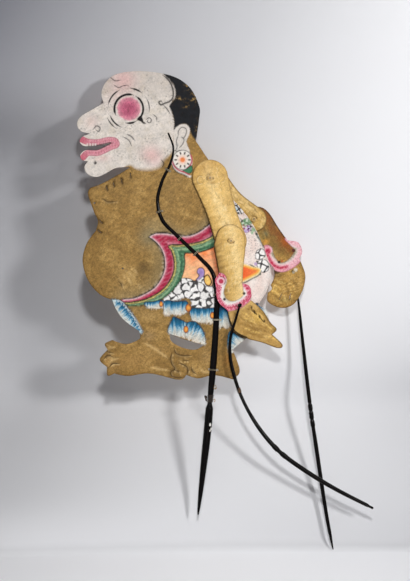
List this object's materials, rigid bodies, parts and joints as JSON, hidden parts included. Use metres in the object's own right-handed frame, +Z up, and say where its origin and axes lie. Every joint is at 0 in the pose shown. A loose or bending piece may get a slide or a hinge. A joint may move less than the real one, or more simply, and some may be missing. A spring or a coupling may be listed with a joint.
{
  "type": "shadow puppet",
  "caption": "Flat painted rawhide shadow puppet of a pot-bellied attendant on a forked horn rod, with pinned arms worked by horn rods.",
  "frame": {"origin": "lower point of the main rod's handle", "axes": "+Z up along the standing figure, -X the way the figure faces, -Y towards the viewer's side with the front arm"},
  "size_m": [0.4321, 0.0356, 0.7012],
  "materials": {
    "painted_hide": "painted rawhide, satin, with worn gilding",
    "gilded_hide": "rawhide with worn pale gilding, satin",
    "dark_hide": "rawhide with dull brown gilding, satin",
    "horn": "polished black buffalo horn",
    "bone": "aged bone, satin",
    "pale_thread": "waxed cotton thread",
    "brown_thread": "old brown thread"
  },
  "bodies": {
    "figure": {"body_hide": "painted_hide", "main_rod": "horn", "main_rod_tie_1": "pale_thread", "main_rod_tie_2": "pale_thread", "main_rod_tie_3": "pale_thread", "main_rod_tie_4": "pale_thread", "main_rod_tie_5": "pale_thread", "main_rod_tie_6": "pale_thread", "main_rod_tie_7": "pale_thread", "neck_whipping": "brown_thread", "shoulder_pin": "bone", "shoulder_button": "bone"},
    "front_upper": {"front_upper_arm": "gilded_hide", "front_elbow_pin": "bone", "front_elbow_button": "bone"},
    "front_fore": {"front_forearm": "gilded_hide"},
    "front_loop": {"front_rod_loop": "pale_thread"},
    "front_rod": {"front_arm_rod": "horn", "front_rod_mending": "brown_thread"},
    "rear_upper": {"rear_upper_arm": "gilded_hide", "rear_elbow_pin": "bone", "rear_elbow_button": "bone"},
    "rear_fore": {"rear_forearm": "dark_hide"},
    "rear_loop": {"rear_rod_loop": "pale_thread"},
    "rear_rod": {"rear_arm_rod": "horn"}
  },
  "joints": [
    {"name": "front_shoulder", "type": "hinge", "parent": "figure", "child": "front_upper", "pos_m": [0.0175, 0, 0.492], "axis": [0, 1, 0], "range_deg": [-60, 150]},
    {"name": "front_elbow", "type": "hinge", "parent": "front_upper", "child": "front_fore", "pos_m": [0.04796, 0, 0.39991], "axis": [0, 1, 0], "range_deg": [-35, 150]},
    {"name": "front_rod_swing", "type": "hinge", "parent": "front_fore", "child": "front_loop", "pos_m": [0.06076, 0, 0.30641], "axis": [0, 1, 0], "range_deg": [-60, 110]},
    {"name": "front_rod_tilt", "type": "hinge", "parent": "front_loop", "child": "front_rod", "pos_m": [0.06076, -0.0142, 0.30641], "axis": [-1, 0, 0], "range_deg": [0, 65]},
    {"name": "rear_shoulder", "type": "hinge", "parent": "figure", "child": "rear_upper", "pos_m": [0.0175, 0, 0.492], "axis": [0, 1, 0], "range_deg": [-60, 150]},
    {"name": "rear_elbow", "type": "hinge", "parent": "rear_upper", "child": "rear_fore", "pos_m": [0.08186, 0, 0.43198], "axis": [0, 1, 0], "range_deg": [-35, 150]},
    {"name": "rear_rod_swing", "type": "hinge", "parent": "rear_fore", "child": "rear_loop", "pos_m": [0.13992, 0, 0.35457], "axis": [0, 1, 0], "range_deg": [-75, 100]},
    {"name": "rear_rod_tilt", "type": "hinge", "parent": "rear_loop", "child": "rear_rod", "pos_m": [0.13992, 0.0142, 0.35457], "axis": [1, 0, 0], "range_deg": [0, 65]}
  ]
}
